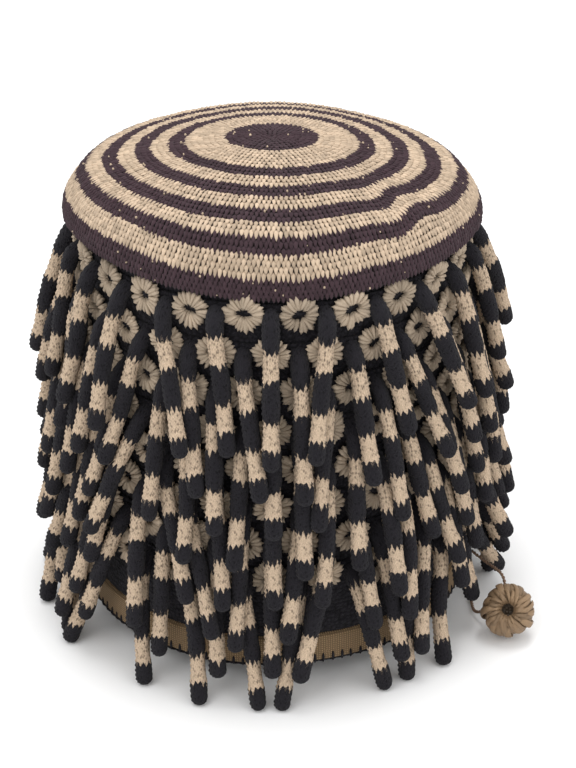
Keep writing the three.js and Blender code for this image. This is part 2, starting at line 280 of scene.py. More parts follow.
def crown_lift(radius, angle):
    """How far the leaning, saddle-shaped crown lifts a point. Its lean levels out at the back."""
    x = radius * np.sin(angle)
    y = -radius * np.cos(angle)
    fall = y - BACK_LEVEL * np.maximum(0, y) ** 2 / CROWN_RADIUS
    saddle = np.sin(angle) ** 2 - np.cos(angle) ** 2 * np.where(y < 0, 1, -BACK_SADDLE)
    return (
        CROWN_SADDLE * saddle * (radius / CROWN_RADIUS) ** 4
        - fall * math.tan(math.radians(CROWN_LEAN_DEG))
        - x * math.tan(math.radians(CROWN_TILT_DEG))
    )


def crown_place(radius, level, angle, oval=CROWN_OVAL):
    """A point of the crown after its lift, its dents and its oval."""
    place = around(angle, radius, level)
    dent = 0
    for dent_deg, middle, reach, depth in CROWN_DENTS:
        centre = around(np.radians(dent_deg), middle * CROWN_RADIUS, 0)
        away = np.hypot(place[..., 0] - centre[0], place[..., 1] - centre[1]) / (reach * CROWN_RADIUS)
        dent = dent + depth * CROWN_RADIUS * np.exp(-away**2)
    sink = dent * np.maximum(0, level - RIM_Z - RIM_HANG) / CROWN_RISE
    place[..., 2] += crown_lift(radius, angle) - sink
    place[..., 0] *= 1 + oval
    place[..., 1] *= np.where(place[..., 1] < 0, 1 - oval, 1)
    return place


def crown_line():
    """The dome's level line from its middle to its rim, as (radius, z), and how far along each point is."""
    sections = [(radius * CROWN_RADIUS, RIM_Z + (1 - drop) * CROWN_RISE) for radius, drop in DOME_SECTIONS]
    return smooth_line(sections, step=0.5)


# Meshes


def rolled_grid(round_count, along_count, closed=()):
    """A tube of radius 1 from z 0 to 1 with an unbroken UV map, its ends closed at the heights in closed."""
    tube = bmesh.new()
    tube.loops.layers.uv.new("UVMap")
    bmesh.ops.create_grid(tube, x_segments=round_count, y_segments=along_count, size=0.5, calc_uvs=True)
    for vert in tube.verts:
        turn = math.tau * (vert.co.x + 0.5)
        vert.co = (math.cos(turn), math.sin(turn), vert.co.y + 0.5)
    bmesh.ops.remove_doubles(tube, verts=tube.verts, dist=1e-5)
    for end in closed:
        rim = [vert for vert in tube.verts if abs(vert.co.z - end) < 1e-5]
        bmesh.ops.pointmerge(tube, verts=rim, merge_co=(0, 0, end))
    return tube


def sort_faces(shape):
    """Sort faces by the numbers of their first vertices, as Blender's own order changes from run to run."""
    shape.verts.index_update()
    count = len(shape.verts)

    def rank(face):
        first, second, third = [vert.index for vert in face.verts][:3]
        return (first * count + second) * count + third

    shape.faces.sort(key=rank)


def ball(u_segments, v_segments):
    """A ball of radius 1."""
    shape = bmesh.new()
    bmesh.ops.create_uvsphere(shape, u_segments=u_segments, v_segments=v_segments, radius=1.0)
    sort_faces(shape)
    return shape


def points_of(shape):
    """The points of a shape's vertices."""
    return np.array([vert.co[:] for vert in shape.verts])


def places_in(template):
    """The turn in radians, the height and the distance from the axis of a template's vertices."""
    co = points_of(template)
    return np.arctan2(co[:, 1], co[:, 0]), co[:, 2], np.hypot(co[:, 0], co[:, 1])


def laid(co, centres, axes):
    """A shape's points once for each centre, along that copy's own three axes."""
    return centres[:, None, :] + np.einsum("vk,nkc->nvc", co, axes)


def in_plane(turn, first, second):
    """The directions at angles in radians from a first direction towards a second one."""
    return np.cos(turn)[:, None] * first + np.sin(turn)[:, None] * second


def joined_copies(name, template, points, tint=None, uv_scale=None):
    """One mesh of copies of a template, with points[n, v] in millimetres for vertex v of copy n."""
    small = bpy.data.meshes.new("template")
    template.to_mesh(small)
    copies, count = points.shape[:2]
    corners = np.empty(len(small.loops), np.int32)
    small.loops.foreach_get("vertex_index", corners)
    starts = np.empty(len(small.polygons), np.int32)
    small.polygons.foreach_get("loop_start", starts)
    copy = np.arange(copies, dtype=np.int32)[:, None]
    mesh = bpy.data.meshes.new(name)
    mesh.vertices.add(copies * count)
    mesh.vertices.foreach_set("co", (points * MM).astype(np.float32).ravel())
    mesh.loops.add(copies * len(corners))
    mesh.loops.foreach_set("vertex_index", (copy * count + corners).ravel())
    mesh.polygons.add(copies * len(starts))
    mesh.polygons.foreach_set("loop_start", (copy * len(corners) + starts).ravel())
    mesh.update(calc_edges=True)
    if small.uv_layers:
        flat = np.empty(2 * len(corners), np.float32)
        small.uv_layers[0].data.foreach_get("uv", flat)
        spread = np.ones((copies, 2)) if uv_scale is None else uv_scale
        uv = flat.reshape(1, -1, 2) * np.asarray(spread, np.float32)[:, None, :]
        mesh.uv_layers.new(name="UVMap").data.foreach_set("uv", uv.astype(np.float32).ravel())
    if tint is not None:
        shade = mesh.attributes.new("tint", "FLOAT", "POINT")
        shade.data.foreach_set("value", np.repeat(tint, count).astype(np.float32))
    bpy.data.meshes.remove(small)
    mesh.shade_smooth()
    return mesh


def turned_mesh(name, profiles, steps, move):
    """Closed profiles of (radius, z) in millimetres spun round the axis, then each vertex moved."""
    shell = bmesh.new()
    for profile in profiles:
        verts = [shell.verts.new((0, -radius, z)) for radius, z in profile]
        edges = [shell.edges.new(pair) for pair in zip(verts, verts[1:])]
        if profile[0][0] > 0:
            edges.append(shell.edges.new((verts[-1], verts[0])))
        bmesh.ops.spin(
            shell, geom=verts + edges, cent=(0, 0, 0), axis=(0, 0, 1), angle=math.tau, steps=steps,
            use_merge=True)
    bmesh.ops.remove_doubles(shell, verts=shell.verts, dist=1e-4)
    bmesh.ops.recalc_face_normals(shell, faces=shell.faces)
    sort_faces(shell)
    co = points_of(shell)
    angle = np.arctan2(co[:, 0], -co[:, 1])
    moved = move(np.hypot(co[:, 0], co[:, 1]), co[:, 2], angle)
    # The map is in metres, with every piece taken as 0.1 m from the axis.
    uv_layer = shell.loops.layers.uv.new("UVMap")
    for face in shell.faces:
        middle = face.calc_center_median()
        facing = math.atan2(middle.x, -middle.y)
        for loop in face.loops:
            own = math.atan2(loop.vert.co.x, -loop.vert.co.y)
            turn = facing + math.remainder(own - facing, math.tau)
            loop[uv_layer].uv = (turn * 0.1, loop.vert.co.z * MM)
    for vert, place in zip(shell.verts, moved):
        vert.co = place * MM
    mesh = bpy.data.meshes.new(name)
    shell.to_mesh(mesh)
    shell.free()
    mesh.shade_smooth()
    return mesh


def add_piece(name, mesh, material, nodes):
    """Put a finished mesh on the hat with its material, in place of its solids."""
    piece = bpy.data.objects.new(name, mesh)
    bpy.context.scene.collection.objects.link(piece)
    mesh.materials.append(material)
    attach(piece, "root")
    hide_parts(*nodes)
    return piece


# Materials


# The sockets of a Mix node for colours
FACTOR, FIRST, SECOND, MIXED = 0, 6, 7, 2

# Cotton yarn is matt, with a soft sheen from its loose fibres.
YARN_FINISH = {"Roughness": 0.95, "Specular IOR Level": 0.15, "Sheen Weight": 0.04, "Sheen Roughness": 0.6}


def add_node(tree, kind, inputs=None, **settings):
    """Add a shader node, set its fields, and set or link its sockets."""
    node = tree.nodes.new("ShaderNode" + kind)
    for field, value in settings.items():
        setattr(node, field, value)
    for socket, value in (inputs or {}).items():
        if isinstance(value, bpy.types.NodeSocket):
            tree.links.new(value, node.inputs[socket])
        else:
            node.inputs[socket].default_value = value
    return node


def maths(tree, operation, *values):
    """The result of a Math node on numbers or on other nodes' results."""
    return add_node(tree, "Math", dict(enumerate(values)), operation=operation).outputs[0]


def blend(tree, share, first, second):
    """The colour at a share of the way from a first colour to a second one."""
    sockets = {FACTOR: share, FIRST: first, SECOND: second}
    return add_node(tree, "Mix", sockets, data_type="RGBA").outputs[MIXED]


def share_between(tree, value, low, high):
    """How far a value is on its way from low to high, from 0 to 1."""
    return add_node(tree, "MapRange", {"Value": value, "From Min": low, "From Max": high}).outputs[0]


def texture_place(tree, kind):
    """The place in the object in metres, or in the UV map."""
    return add_node(tree, "TexCoord").outputs[kind]


def own_tint(tree):
    """The number from 0 to 1 that each copy in a piece has to itself."""
    return add_node(tree, "Attribute", attribute_name="tint").outputs["Fac"]


def noise(tree, place, scale, detail, roughness=0.5):
    """Cloudy noise with a number of clouds per unit of the place."""
    sockets = {"Vector": place, "Scale": scale, "Detail": detail, "Roughness": roughness}
    return add_node(tree, "TexNoise", sockets).outputs["Fac"]


def add_bump(tree, shader, height, strength, depth):
    """Raise and sink the shader's surface, with a depth in millimetres."""
    bump = add_node(tree, "Bump", {"Height": height, "Strength": strength, "Distance": depth * MM})
    tree.links.new(bump.outputs[0], shader.inputs["Normal"])


def add_tone(tree, shader, share, first, second):
    """Blend the shader's colour from a first one to a second one."""
    tree.links.new(blend(tree, share, first, second), shader.inputs["Base Color"])


def new_material(name, finish):
    """A material with an empty tree, its Principled shader and its output."""
    material = bpy.data.materials.new(name)
    material.use_nodes = True
    tree = material.node_tree
    tree.nodes.clear()
    shader = add_node(tree, "BsdfPrincipled", finish)
    add_node(tree, "OutputMaterial", {"Surface": shader.outputs["BSDF"]})
    return material, tree, shader


def shaded(colour, share):
    """A colour made darker or lighter, with its alpha."""
    return [min(1.0, part * share) for part in colour] + [1.0]


def stitch_yarn(name, colour, contrast):
    """Hand-dyed cotton yarn: each looped stitch has its own shade, with fine fibres over it."""
    material, tree, shader = new_material(name, YARN_FINISH)
    place = texture_place(tree, "Object")
    # Fibres about 0.6 mm thick, and cloudy dye patches about 15 mm wide
    fibres = noise(tree, place, 1600.0, 3.0, 0.7)
    clouds = noise(tree, place, 70.0, 2.0)
    worn = maths(tree, "ADD", maths(tree, "ADD", fibres, own_tint(tree)), clouds)
    share = share_between(tree, worn, 0.6, 2.3)
    add_tone(tree, shader, share, shaded(colour, 1 - contrast), shaded(colour, 1 + contrast))
    add_bump(tree, shader, fibres, 0.5, 0.4)
    return material


def looped_yarn(name, colour):
    """Looped cotton cloth, a ground of small round loops, with a painted highlight on their middles and
    painted shade in the gaps between them.
    """
    material, tree, shader = new_material(name, YARN_FINISH)
    place = texture_place(tree, "Object")
    # Loops about 2 mm wide
    loops = add_node(tree, "TexVoronoi", {"Vector": place, "Scale": 480.0, "Randomness": 0.8})
    gap = share_between(tree, loops.outputs["Distance"], 0.1, 0.8)
    # Painted highlight: the loops' middles are a lighter copy of the yarn. Painted shade: the gaps between
    # them are a darker copy.
    add_tone(tree, shader, gap, shaded(colour, 1.35), shaded(colour, 0.35))
    add_bump(tree, shader, maths(tree, "SUBTRACT", noise(tree, place, 1500.0, 3.0), gap), 0.9, 1.0)
    return material


def banded_yarn(name, dark, light, sizes):
    """Two cotton yarns looped in bands, where the light one runs over the black in uneven teeth."""
    material, tree, shader = new_material(name, YARN_FINISH)
    # The UV map has turns round the finger and decimetres from its tip.
    uv = texture_place(tree, "UV")
    flat = add_node(tree, "SeparateXYZ", {0: uv})
    repeat = sizes.band_repeat / MM
    ratio = maths(tree, "DIVIDE", maths(tree, "MULTIPLY", flat.outputs["Y"], 100.0), repeat)
    cell = maths(tree, "FLOOR", ratio)
    off = maths(tree, "MULTIPLY_ADD", maths(tree, "FRACT", ratio), repeat, -FIRST_BAND)
    # Nine teeth round a finger, each about 2.6 mm wide, with a height of its own at either end of a band
    columns = maths(tree, "MULTIPLY", flat.outputs["X"], 9.0)
    tooth = maths(tree, "PINGPONG", maths(tree, "FRACT", columns), 0.5)
    seed = maths(tree, "MULTIPLY_ADD", own_tint(tree), 311.0, maths(tree, "SIGN", off))
    key = add_node(tree, "CombineXYZ", {"X": maths(tree, "FLOOR", columns), "Y": cell, "Z": seed})
    draw = add_node(tree, "TexWhiteNoise", {"Vector": key.outputs[0]}).outputs["Value"]
    tall = maths(tree, "MULTIPLY_ADD", draw, 2 * sizes.band_tooth / MM, 1.2)
    reach = maths(tree, "ADD", maths(tree, "MULTIPLY", tooth, tall), sizes.light_band / MM / 2)
    over = maths(tree, "SUBTRACT", reach, maths(tree, "ABSOLUTE", off))
    # A finger has two light bands, so its root and its tip are black.
    low = maths(tree, "COMPARE", cell, 0.5, 0.6)
    band = maths(tree, "MULTIPLY", share_between(tree, over, -0.1, 0.25), low)
    # Streaks of tone along the yarn, and painted shade in small pits between its loops, about 1.2 mm apart
    stretch = add_node(tree, "Mapping", {"Vector": uv, "Scale": (21.0, 50.0, 1.0)}).outputs[0]
    pits = add_node(tree, "TexVoronoi", {"Vector": stretch, "Scale": 0.9})
    pit_shade = share_between(tree, pits.outputs["Distance"], 0.12, 0.42)
    shade = maths(tree, "MULTIPLY", noise(tree, stretch, 2.2, 3.0), pit_shade)
    # Each yarn is blended from a darker copy in the pits, as painted shade, to a lighter copy on its loops,
    # as painted highlight; the streaks' random tone moves it between them as well.
    light_tone = blend(tree, shade, shaded(light, 0.3), shaded(light, 1.45))
    dark_tone = blend(tree, shade, shaded(dark, 0.35), shaded(dark, 1.3))
    add_tone(tree, shader, band, dark_tone, light_tone)
    add_bump(tree, shader, maths(tree, "ADD", band, shade), 1.0, 0.9)
    return material


def woven_band(name, colour):
    """A plain woven cotton band, threads about 1.2 mm apart over and under each other, with painted shade
    between the threads and a painted highlight where they cross.
    """
    material, tree, shader = new_material(name, YARN_FINISH)
    threads = {"Vector": texture_place(tree, "UV"), "Scale": 260.0, "Distortion": 0.6}
    warp, weft = [add_node(tree, "TexWave", threads, bands_direction=way).outputs["Fac"] for way in "XY"]
    weave = maths(tree, "MULTIPLY", warp, weft)
    # Painted shade where the threads dip apart, and a painted highlight on their crossings.
    add_tone(tree, shader, weave, shaded(colour, 0.45), shaded(colour, 1.25))
    add_bump(tree, shader, weave, 0.8, 0.5)
    return material


def raffia_strip(name, colour):
    """Dried palm leaf strip: a dull satin skin with fine grooves along it and darker creases."""
    material, tree, shader = new_material(name, {"Roughness": 0.62, "Specular IOR Level": 0.4})
    stretch = add_node(tree, "Mapping", {"Vector": texture_place(tree, "UV"), "Scale": (22.0, 3.0, 1.0)})
    grain = noise(tree, stretch.outputs[0], 1.0, 4.0)
    share = maths(tree, "MULTIPLY_ADD", own_tint(tree), 0.45, grain)
    add_tone(tree, shader, share, shaded(colour, 0.35), shaded(colour, 1.5))
    add_bump(tree, shader, grain, 0.6, 0.4)
    return material


def matt_paper(name):
    """White background paper, quite matt, with a faint tooth."""
    material, tree, shader = new_material(
        name, {"Base Color": (0.9, 0.9, 0.9, 1.0), "Roughness": 0.95, "Specular IOR Level": 0.1})
    add_bump(tree, shader, noise(tree, texture_place(tree, "Object"), 900.0, 2.0), 0.05, 0.1)
    return material


# Operators


class HAT_OT_camera(bpy.types.Operator):
    """Set the camera at the photograph's viewing angle"""

    bl_idname = "hat.camera"
    bl_label = "Camera"

    def execute(self, context):
        lens = bpy.data.cameras.new("camera")
        lens.lens = CAMERA_LENS
        lens.sensor_width = 36
        camera = bpy.data.objects.new("camera", lens)
        camera.location = CAMERA_PLACE
        camera.rotation_euler = Euler((math.radians(CAMERA_ANGLE_DEG), 0, 0))
        context.scene.collection.objects.link(camera)
        context.scene.camera = camera
        return {"FINISHED"}


class HAT_OT_tie(bpy.types.Operator):
    """Make the two twisted cords and the raffia knob that they hold"""

    bl_idname = "hat.tie"
    bl_label = "Tie"

    def execute(self, context):
        colours = context.scene.hat_colours
        twisted = raffia_strip("twisted bast cord", colours.cord)
        knob = self.make_knob(
            raffia_strip("dried raffia", colours.raffia),
            # The core's raffia is darkened to a fifth, as painted shade in the knob's hollow.
            raffia_strip("raffia in painted shade", shaded(colours.raffia, 0.2)[:3]))
        self.make_cord("tie_cord_a", CORD_A_ROUTE, knob, twisted)
        self.make_cord("tie_cord_b", CORD_B_ROUTE, [], twisted)
        return {"FINISHED"}

    def make_cord(self, name, route, pieces, material):
        """Two strands twisted round the route."""
        line, run = smooth_line(route, step=0.5)
        heading = unit(np.gradient(line, axis=0))
        # A direction that neither cord runs in
        slant = (0.31, 0.42, 0.85)
        side = unit(np.cross(heading, slant))
        up = np.cross(heading, side)
        strand = rolled_grid(8, len(line) - 1)
        turn, height, _ = places_in(strand)
        at = np.rint(height * (len(line) - 1)).astype(int)
        strand_radius = STRAND_SHARE * CORD_DIAMETER
        offset = CORD_DIAMETER / 2 - strand_radius
        copies = []
        for start in (0, math.pi):
            wind = start + math.tau * run[at] / TWIST_PITCH
            middle = line[at] + offset * in_plane(wind, side[at], up[at])
            copies.append(middle + strand_radius * in_plane(turn, side[at], up[at]))
        mesh = joined_copies(name, strand, np.array(copies), tint=np.array([0.3, 0.7]))
        cord = add_piece(name + "_twist", mesh, material, [name])

    def make_knob(self, material, dark):
        """Strips of raffia looped from the hollow over the knob's shoulder to its back. The hollow holds a
        core in painted shade.
        """
        low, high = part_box("tie_knob")
        centre = np.array((low + high) / 2) / MM
        radius = (high.z - low.z) / 2 / MM
        face_up = math.radians(38)
        face_turn = math.radians(-10)
        axis = np.array([math.sin(face_turn), -math.cos(face_turn), math.tan(face_up)]) * math.cos(face_up)
        across = unit(np.cross((0, 0, 1), axis))
        upward = np.cross(axis, across)
        draw = np.random.default_rng(11)
        rings = 18
        strip = rolled_grid(8, rings, closed=(0, 1))
        turn, height, open_share = places_in(strip)
        at = np.rint(height * rings).astype(int)
        copies = []
        for count, half_width, section in KNOB_TIERS:
            line, _ = smooth_line(section, step=0.02)
            line = line[np.rint(np.linspace(0, len(line) - 1, rings + 1)).astype(int)]
            slope = unit(np.gradient(line, axis=0))
            for k in range(count):
                swing = math.tau * (k + 0.8 * draw.random()) / count
                size = radius * (0.84 + 0.16 * draw.random())
                skew = 0.5 + 1.1 * (draw.random() - 0.5)
                bearing = swing + skew * (height - 0.5)
                out = in_plane(bearing, across, upward)
                aside = np.cross(axis, out)
                place = size * (line[at, :1] * out + line[at, 1:] * axis)
                proud = slope[at, 1:] * out - slope[at, :1] * axis
                wide = half_width * (0.55 + 0.45 * line[at, :1]) * open_share[:, None]
                thick = 0.5 * open_share[:, None]
                copies.append(
                    centre + place + wide * np.cos(turn)[:, None] * aside
                    - thick * np.sin(turn)[:, None] * proud)
        mesh = joined_copies("tie_knob_raffia", strip, np.array(copies), tint=draw.random(len(copies)))
        # The core, and beads round its face and in the middle of it, all of raffia darkened to a fifth as
        # painted shade in the knob's hollow
        bead = ball(20, 12)
        co = points_of(bead)
        axes = np.stack([0.76 * across, 0.76 * upward, 0.4 * axis]) * radius
        beads = [centre - 1.5 * axis + co @ axes]
        for count, away, size in ((8, 3.4, 1.35), (3, 1.2, 1.2)):
            for k in range(count):
                swing = math.tau * (k + 0.3 * draw.random()) / count
                middle = centre + away * (math.cos(swing) * across + math.sin(swing) * upward)
                beads.append(middle + 0.3 * radius * axis + size * (0.85 + 0.3 * draw.random()) * co)
        core = joined_copies("tie_knob_shade_core", bead, np.array(beads), tint=np.full(len(beads), 0.1))
        return [
            add_piece("tie_knob_raffia", mesh, material, ["tie_knob"]),
            add_piece("tie_knob_shade_core", core, dark, ["tie_knob"]),
        ]


class HAT_OT_crown(bpy.types.Operator):
    """Make the domed crown: its shell, and the looped stitches of its dark and light rings"""

    bl_idname = "hat.crown"
    bl_label = "Crown"

    def execute(self, context):
        sizes = context.scene.hat_sizes
        colours = context.scene.hat_colours
        line, run = crown_line()
        # The shell's yarn is darker than the crown's dark yarn. It shows only in the slits between the
        # stitches, as painted shade there.
        self.make_shell(line, looped_yarn("looped cotton ground in painted shade", linear("2a2121")))
        dark = stitch_yarn("dark looped cotton", colours.crown_dark, 0.3)
        light = stitch_yarn("light looped cotton", colours.crown_light, 0.35)
        self.make_stitches(line, run, sizes, dark, light)
        return {"FINISHED"}

    def make_shell(self, line, material):
        """The shell under the stitches, with the seat round the wall and the rim that hangs below it."""
        along = unit(np.gradient(line, axis=0))
        inward = np.stack([along[:, 1], -along[:, 0]], axis=-1)
        outside = (line + SHELL_DEPTH * inward)[::6]
        lining = (line + CROWN_THICKNESS * inward)[::6]
        outside[0, 0] = 0
        lining[0, 0] = 0
        seat_z = RIM_Z + RIM_HANG
        seat_radius = wall_radius(seat_z) + FIT_GAP
        rim_lining = line[-1, 0] - CROWN_THICKNESS
        above = lining[lining[:, 0] < seat_radius]
        above = above[above[:, 1] > seat_z]
        profile = [
            *outside,
            (line[-1, 0] - SHELL_DEPTH, RIM_Z),
            (rim_lining, RIM_Z),
            (rim_lining, seat_z),
            (seat_radius, seat_z),
            (seat_radius, above[-1, 1] - 1),
            *above[::-1],
        ]

        def oval_but_seat(radius, level, angle):
            seated = np.abs(radius - seat_radius) < 0.03
            return crown_place(radius, level, angle, np.where(seated, 0, CROWN_OVAL))

        mesh = turned_mesh("crown_shell", [profile], 132, oval_but_seat)
        add_piece("crown_shell", mesh, material, ["crown"])

    def make_stitches(self, line, run, sizes, dark_yarn, light_yarn):
        """Rows of radial loops. A ring's outer edge is jagged, as its loops' points are of uneven length."""
        draw = np.random.default_rng(3)
        pitch = sizes.stitch_row / MM
        width = sizes.stitch_width / MM
        rows = [dark for count, dark in CROWN_RINGS for _ in range(count)]
        scale = (run[-1] - 0.4) / (len(rows) * pitch)
        stitches = []
        for row, dark in enumerate(rows):
            at = (row + 0.5) * pitch * scale
            count = max(5, int(round(math.tau * np.interp(at, run, line[:, 0]) / width)))
            stray = 0.5 * (row % 2) + 0.15 * (draw.random(count) - 0.5)
            angle = math.tau * (np.arange(count) + stray) / count
            teeth = (rows[min(row + 1, len(rows) - 1)] != dark) * 0.45 * draw.random(count)
            place = at + 0.4 * (draw.random(count) - 0.5) + pitch * teeth / 2
            length = 0.8 + 0.2 * (draw.random(count) - 0.5) + teeth / 2
            stitches.append([place, angle, length, np.full(count, dark)])
        place, angle, length, is_dark = np.concatenate(stitches, axis=1)
        is_dark = is_dark > 0
        place = place + self.ring_shift(place, angle, run[-1])
        half_long = pitch * length
        half_wide = width * 0.58 * (1 + 0.3 * (draw.random(len(place)) - 0.5))
        half_high = 0.7 + 0.5 * (draw.random(len(place)) - 0.5)
        for name, chosen, yarn in (
            ("crown_stitches_dark", is_dark, dark_yarn),
            ("crown_stitches_light", ~is_dark, light_yarn),
        ):
            bead = ball(6, 3)
            # A loop narrows towards the rim, and its point lies over the next row.
            for vert in bead.verts:
                vert.co.x *= 0.95 - 0.5 * vert.co.z
                vert.co.y += 0.3 * vert.co.z
            half = np.stack([half_wide, half_high, half_long], axis=-1)[chosen]
            points = self.lay(bead, line, run, place[chosen], angle[chosen], half)
            mesh = joined_copies(name, bead, points, tint=draw.random(int(chosen.sum())))
            add_piece(name, mesh, yarn, ["crown"])
        self.make_specks(line, run, place[is_dark], angle[is_dark], light_yarn, draw)

    def ring_shift(self, place, angle, whole):
        """How far the rings stray: a slow waver, and a kink in the outer rings at the right front."""
        waver = 0.9 * np.sin(2 * angle + 1) + 0.6 * np.sin(5 * angle + 2) + 0.35 * np.sin(11 * angle)
        turn = (np.degrees(angle) + 180) % 360 - 180
        kink = 1.5 * np.exp(-((turn - 39) / 5) ** 2) - 4.0 * np.exp(-((turn - 48.5) / 6) ** 2)
        outer = np.clip((place - 62) / 15, 0, 1) * np.clip((108 - place) / 10, 0, 1)
        return waver * (place / whole) * np.clip((whole - place) / 8, 0, 1) + kink * outer

    def lay(self, bead, line, run, place, angle, half):
        """The points of beads laid on the crown, each with its own half width, height and length."""
        def spot(along, turn):
            return crown_place(*values_at(along, run, line).T, turn)

        middle = spot(place, angle)
        outward = unit(spot(place + 0.6, angle) - spot(np.maximum(place - 0.6, 0), angle))
        aside = unit(spot(place, angle + 0.01) - spot(place, angle - 0.01))
        proud = np.cross(outward, aside)
        axes = np.stack([aside, proud, outward], axis=1) * half[:, :, None]
        # The loops are sunk into the dome, so that their tops lie close to its surface.
        return laid(points_of(bead), middle - STITCH_DEPTH * proud, axes)

    def make_specks(self, line, run, place, angle, yarn, draw):
        """Stray light loops in the dark rings."""
        chosen = draw.random(len(place)) < 0.04
        count = int(chosen.sum())
        bead = ball(6, 3)
        size = 0.3 + 0.35 * draw.random(count)
        half = np.stack([size, 0.5 + size, 1.15 * size], axis=-1)
        points = self.lay(bead, line, run, place[chosen] + 0.9, angle[chosen] + 0.008, half)
        points[:, :, 2] += 0.35
        mesh = joined_copies("crown_specks", bead, points, tint=draw.random(count))
        add_piece("crown_specks", mesh, yarn, ["crown"])


class HAT_OT_wall(bpy.types.Operator):
    """Make the black wall, the tapes that the fingers grow from, and the woven hem"""

    bl_idname = "hat.wall"
    bl_label = "Wall and hem"

    def execute(self, context):
        colours = context.scene.hat_colours
        black = looped_yarn("black looped cotton", colours.black)
        self.make_wall(black)
        self.make_tapes(black)
        self.make_hem(woven_band("woven cotton band", colours.hem), black)
        return {"FINISHED"}

    def make_wall(self, material):
        """A rolled cloth of small loops, closed round its top and foot."""
        heights = np.linspace(WALL_FOOT_Z, WALL_TOP_Z, 86)
        outside = [(wall_radius(z), z) for z in heights]
        inside = [(wall_radius(z) - WALL_THICKNESS, z) for z in heights[::-1]]
        draw = np.random.default_rng(5)

        def nub(radius, z, angle):
            level = z + wall_share(z) * crown_lift(radius, angle)
            return around(angle, radius + 0.5 * (draw.random(len(radius)) - 0.5), level)

        mesh = turned_mesh("side_wall_loops", [outside + inside], 220, nub)
        add_piece("side_wall_loops", mesh, material, ["side_wall"])

    def make_tapes(self, material):
        """One looped tape a row, a little puffed between its edges."""
        draw = np.random.default_rng(6)
        profiles = []
        for row in range(ROW_COUNT):
            back = tape_radius(row) + 0.2
            front = back + TAPE_THICKNESS
            foot = row_height(row) - TAPE_HEIGHT / 2
            top = foot + TAPE_HEIGHT
            profiles.append([
                (back, foot), (front - 0.5, foot), (front, foot + 1.5), (front + 0.5, (foot + top) / 2),
                (front, top - 1.5), (front - 0.5, top), (back, top)])

        def nub(radius, z, angle):
            return around(angle, radius + 0.4 * (draw.random(len(radius)) - 0.5), z)

        mesh = turned_mesh("fringe_tapes", profiles, 176, nub)
        add_piece("fringe_tapes", mesh, material, ROW_NODES)

    def make_hem(self, weave, thread):
        """A flat woven band with a soft wave, edged with blanket stitches of black yarn."""
        outer = WALL_FOOT_RADIUS + HEM_PROUD
        inner = outer - HEM_THICKNESS
        top = HEM_LIFT + HEM_HEIGHT
        middle = np.linspace(HEM_LIFT + 1.2, top - 1.2, 9)
        profile = [(outer, z) for z in middle] + [(outer - 1.2, top), (inner + 1.2, top)]
        profile += [(inner, z) for z in middle[::-1]] + [(inner + 1.2, HEM_LIFT), (outer - 1.2, HEM_LIFT)]

        def wave(angle, z):
            slack = (top - z) / HEM_HEIGHT
            return slack * (0.8 * np.sin(3 * angle + 0.6) + 0.5 * np.sin(7 * angle))

        def rumple(radius, z, angle):
            return around(angle, radius + 0.4 * wave(angle, z), z + 0.6 * wave(angle, z))

        mesh = turned_mesh("hem_weave", [profile], 176, rumple)
        add_piece("hem_weave", mesh, weave, ["hem_band"])

        # The blanket stitch: an upright and a piece of edge for each of its stitches
        count = 127
        draw = np.random.default_rng(8)
        bead = ball(6, 5)
        co = points_of(bead)
        angle = math.tau * (np.arange(count) + 0.3 * draw.random(count)) / count
        long = 2.6 + 0.5 * draw.random(count)
        sway = wave(angle, HEM_LIFT)
        out = around(angle, 1.0, 0.0)
        aside = around(angle + math.pi / 2, 1.0, 0.0)
        up = np.tile((0.0, 0.0, 1.0), (count, 1))
        face = around(angle, outer + 0.1 + 0.4 * sway, HEM_LIFT + 0.6 * sway + long - 0.8)
        uprights = laid(co, face, np.stack([0.75 * aside, -0.8 * out, long[:, None] * up], axis=1))
        edge_half = math.pi * outer / count * 1.15
        foot = around(angle, outer - 0.8, HEM_LIFT - 0.1 + 0.6 * sway)
        edge = laid(co, foot, np.stack([0.9 * out, 0.7 * up, edge_half * -aside], axis=1))
        mesh = joined_copies(
            "hem_blanket_stitch", bead, np.concatenate([uprights, edge]), tint=draw.random(2 * count))
        add_piece("hem_blanket_stitch", mesh, thread, ["hem_band"])


